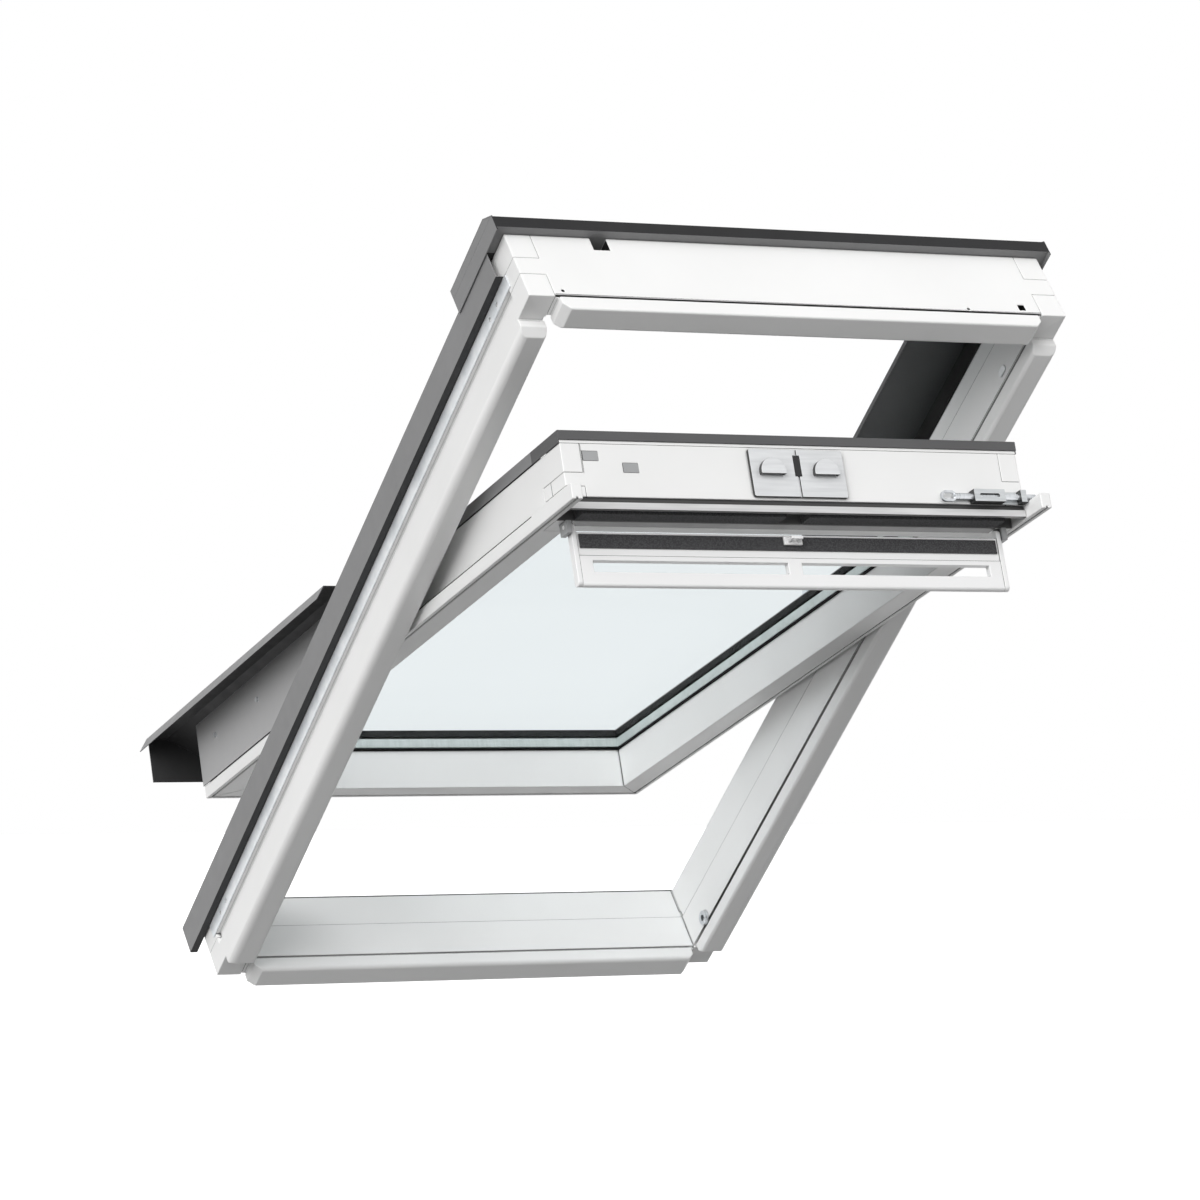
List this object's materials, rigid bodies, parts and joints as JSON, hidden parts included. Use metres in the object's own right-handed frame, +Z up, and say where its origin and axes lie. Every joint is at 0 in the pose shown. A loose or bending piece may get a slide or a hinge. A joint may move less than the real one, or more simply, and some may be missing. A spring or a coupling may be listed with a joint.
{
  "type": "roof skylight",
  "caption": "White centre-pivot roof skylight: fixed frame with grey metal cladding, tilting glazed sash, ventilation flap with control bar, latch and barrel bolt.",
  "frame": {"origin": "middle of the frame at the height of the fixing holes in the side rails", "axes": "+Z up, +X to the right as seen from the room, +Y level and out through the roof; the frame slopes at 41 degrees"},
  "size_m": [0.978, 1.5509, 1.1957],
  "materials": {
    "white_moulding": "satin white moulding",
    "white_plastic": "smooth white plastic",
    "zinc_steel": "galvanised",
    "bright_steel": "satin steel",
    "grey_cladding": "matt grey coated sheet",
    "dark_metal": "matt dark grey",
    "rubber": "black rubber",
    "dark_foam": "dark grey foam",
    "glass": "clear",
    "light_metal": "satin",
    "grey_plastic": "grey plastic"
  },
  "bodies": {
    "frame": {"frame_left": "white_moulding", "frame_right": "white_moulding", "frame_top": "white_moulding", "frame_bottom": "white_moulding", "frame_caps": "white_plastic", "rail_left": "zinc_steel", "rail_right": "zinc_steel", "cladding_left": "grey_cladding", "cladding_right": "grey_cladding", "cladding_bottom": "grey_cladding", "cover_left": "grey_cladding", "cover_right": "grey_cladding", "hood": "grey_cladding", "gutter_left": "dark_metal", "gutter_right": "dark_metal", "pivot_bracket_left": "zinc_steel", "pivot_bracket_right": "zinc_steel", "bolt_bush": "bright_steel", "striker": "zinc_steel"},
    "sash": {"sash_left": "white_moulding", "sash_right": "white_moulding", "sash_bottom": "white_moulding", "sash_top": "white_moulding", "glazing_gasket": "rubber", "inner_pane": "glass", "spacer": "light_metal", "outer_pane": "glass", "sash_cladding_top": "grey_cladding", "sash_bead_left": "grey_cladding", "sash_bead_right": "grey_cladding", "apron_left": "grey_cladding", "apron_right": "grey_cladding", "apron_bottom": "grey_cladding", "sash_seal_left": "rubber", "sash_seal_right": "rubber", "pivot_shoe_left": "zinc_steel", "pivot_shoe_right": "zinc_steel", "air_filter": "dark_foam", "filter_rail": "light_metal", "lock_case": "light_metal", "bolt_case": "bright_steel", "flap_hinge_left": "grey_plastic", "flap_hinge_right": "grey_plastic", "apron_screws": "bright_steel", "buffer_pads": "grey_plastic"},
    "flap": {"flap_panel": "white_plastic", "flap_seal": "dark_foam", "control_bar": "white_plastic", "flap_arm_left": "white_plastic", "flap_arm_right": "white_plastic", "catch": "white_plastic"},
    "latch": {"latch": "zinc_steel"},
    "bolt": {"barrel_bolt": "bright_steel"}
  },
  "joints": [
    {"name": "sash_pivot", "type": "hinge", "parent": "frame", "child": "sash", "pos_m": [0, 0.06101, 0.07019], "axis": [1, 0, 0], "range_deg": [-23.4, 136.6]},
    {"name": "flap_hinge", "type": "hinge", "parent": "sash", "child": "flap", "pos_m": [0, -0.5879, 0.13126], "axis": [1, 0, 0], "range_deg": [-90, 0]},
    {"name": "latch_slide", "type": "slide", "parent": "sash", "child": "latch", "axis": [0, -0.9532, 0.3024], "range_m": [0, 0.016]},
    {"name": "bolt_slide", "type": "slide", "parent": "sash", "child": "bolt", "axis": [1, 0, 0], "range_m": [0, 0.008]}
  ],
  "couplings": [
    {"joint": "latch_slide", "follows": "flap_hinge", "m_per_rad": -0.01018}
  ]
}
